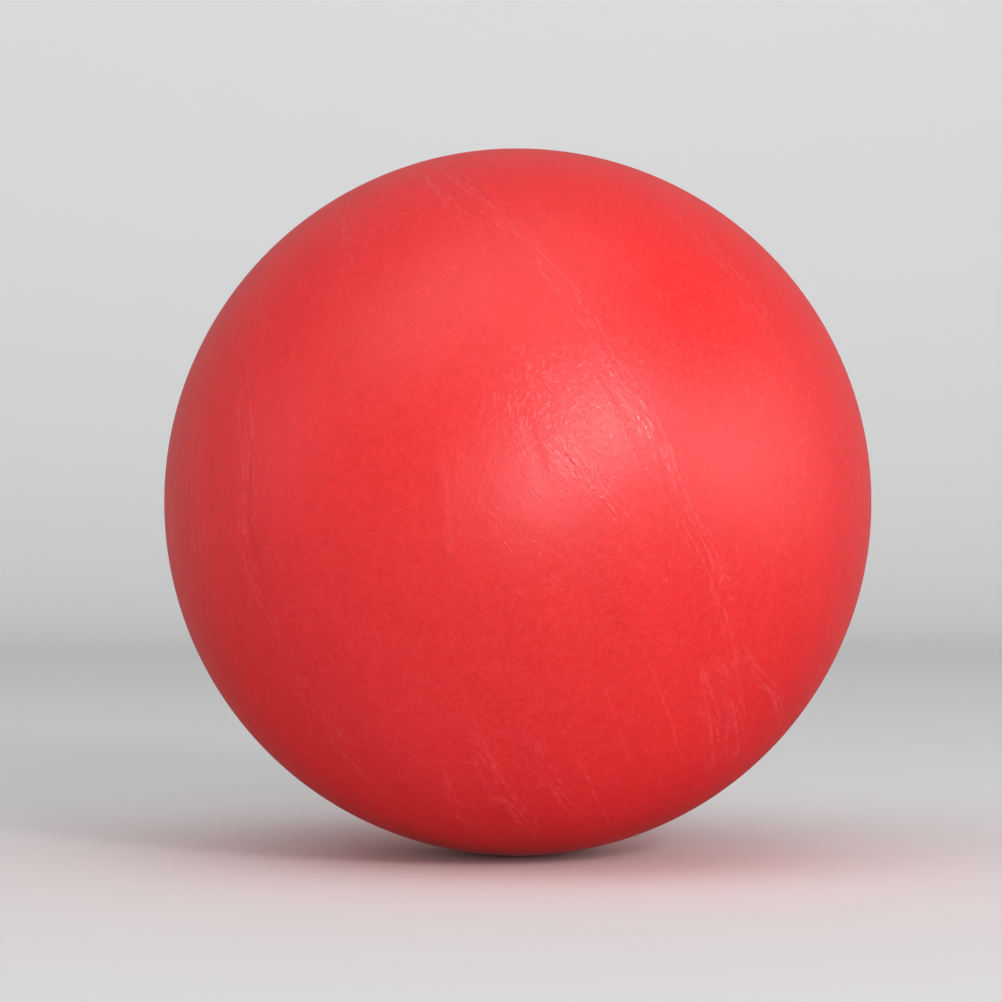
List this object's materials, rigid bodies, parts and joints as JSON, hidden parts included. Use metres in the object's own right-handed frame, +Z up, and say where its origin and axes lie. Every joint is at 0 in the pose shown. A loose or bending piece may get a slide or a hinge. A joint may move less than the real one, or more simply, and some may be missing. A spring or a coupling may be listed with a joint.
{
  "type": "massage ball",
  "caption": "Firm solid rubber trigger-point ball with a satin moulded skin, rolled under the body by hand or against a wall or floor.",
  "frame": {"origin": "centre of the ball", "axes": "+Z up; +Y along the moulding axis, through the poles of the rear cup, with the front cup on -Y; the cups part on the XZ plane"},
  "size_m": [0.063, 0.063, 0.063],
  "materials": {
    "cover_rubber": "satin moulded red rubber with fine flow marks",
    "core_rubber": "matt dark pressed rubber"
  },
  "bodies": {
    "root": {"core": "core_rubber", "front_cup": "cover_rubber", "rear_cup": "cover_rubber"}
  },
  "joints": []
}
